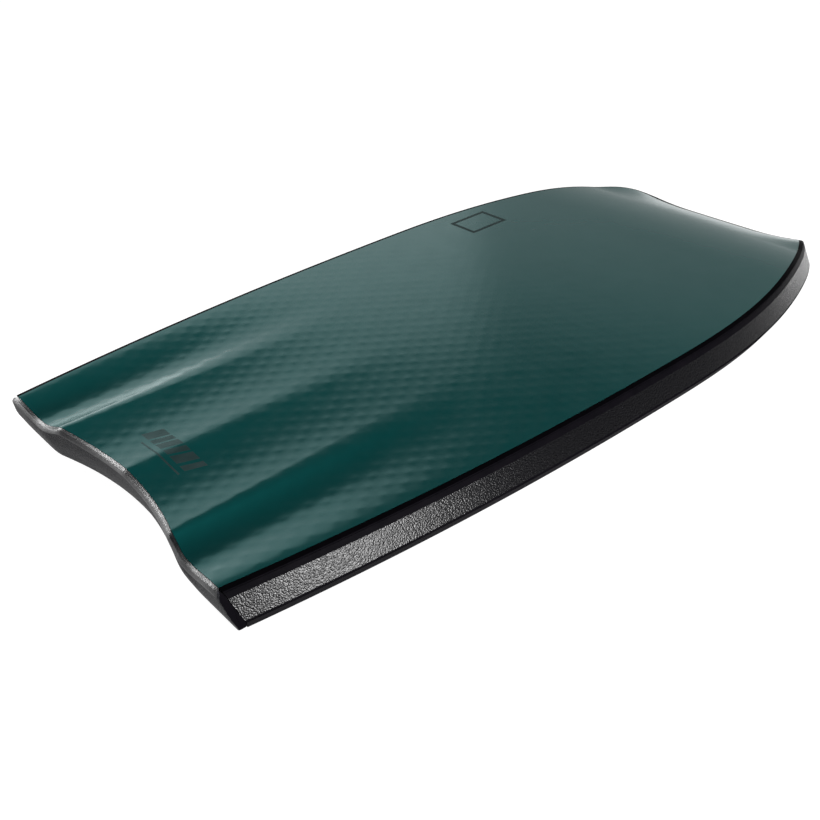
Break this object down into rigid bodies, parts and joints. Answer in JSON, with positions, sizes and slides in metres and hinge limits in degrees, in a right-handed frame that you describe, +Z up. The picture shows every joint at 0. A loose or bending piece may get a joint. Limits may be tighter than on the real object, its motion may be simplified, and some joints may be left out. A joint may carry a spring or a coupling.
{
  "type": "bodyboard",
  "caption": "Bodyboard for prone wave riding: a laminated foam board with a channelled glossy slick, bevelled rails, drooped nose and crescent tail, lying deck down.",
  "frame": {"origin": "centre of the bounding box in plan, on the surface that the board rests on; the board lies deck down on its nose tip and tail, slick up, and that makes its flat part climb 2.4 degrees towards the nose", "axes": "+X from the tail to the nose along the board, +Y to the board's left when it is seen slick up with the nose ahead, +Z up, out of the slick"},
  "size_m": [1.0724, 0.5478, 0.0862],
  "materials": {
    "core_foam": "expanded polypropylene bead foam, white, matte, with the beads' outlines",
    "carbon_rod": "carbon fibre tube, black, satin",
    "cap_plastic": "moulded nylon, light grey, matte",
    "net": "extruded diamond netting, off-white, matte",
    "slick": "ionomer sheet, dark green, satin gloss, embossed by the net below it",
    "deck_foam": "closed-cell polyethylene foam skin, black, finely textured, matte",
    "rail_smooth": "closed-cell polyethylene foam, black, hot-cut smooth, satin",
    "rail_foam": "closed-cell polyethylene foam, black, pebbled skin with a sparkling gloss",
    "bumper_foam": "closed-cell polyethylene foam, charcoal, pebbled skin with a sparkling gloss"
  },
  "bodies": {
    "root": {"core": "core_foam", "stringer": "carbon_rod", "stringer_cap_tail": "cap_plastic", "stringer_cap_nose": "cap_plastic", "stringer_bore_plug": "core_foam", "slick_net": "net", "slick": "slick", "deck_skin": "deck_foam", "rail_inner_right": "rail_smooth", "rail_inner_left": "rail_smooth", "rail_outer_right": "rail_foam", "rail_outer_left": "rail_foam", "chine_right": "rail_smooth", "chine_left": "rail_smooth", "nose_bumper": "rail_foam", "tail_bumper": "bumper_foam"}
  },
  "joints": []
}
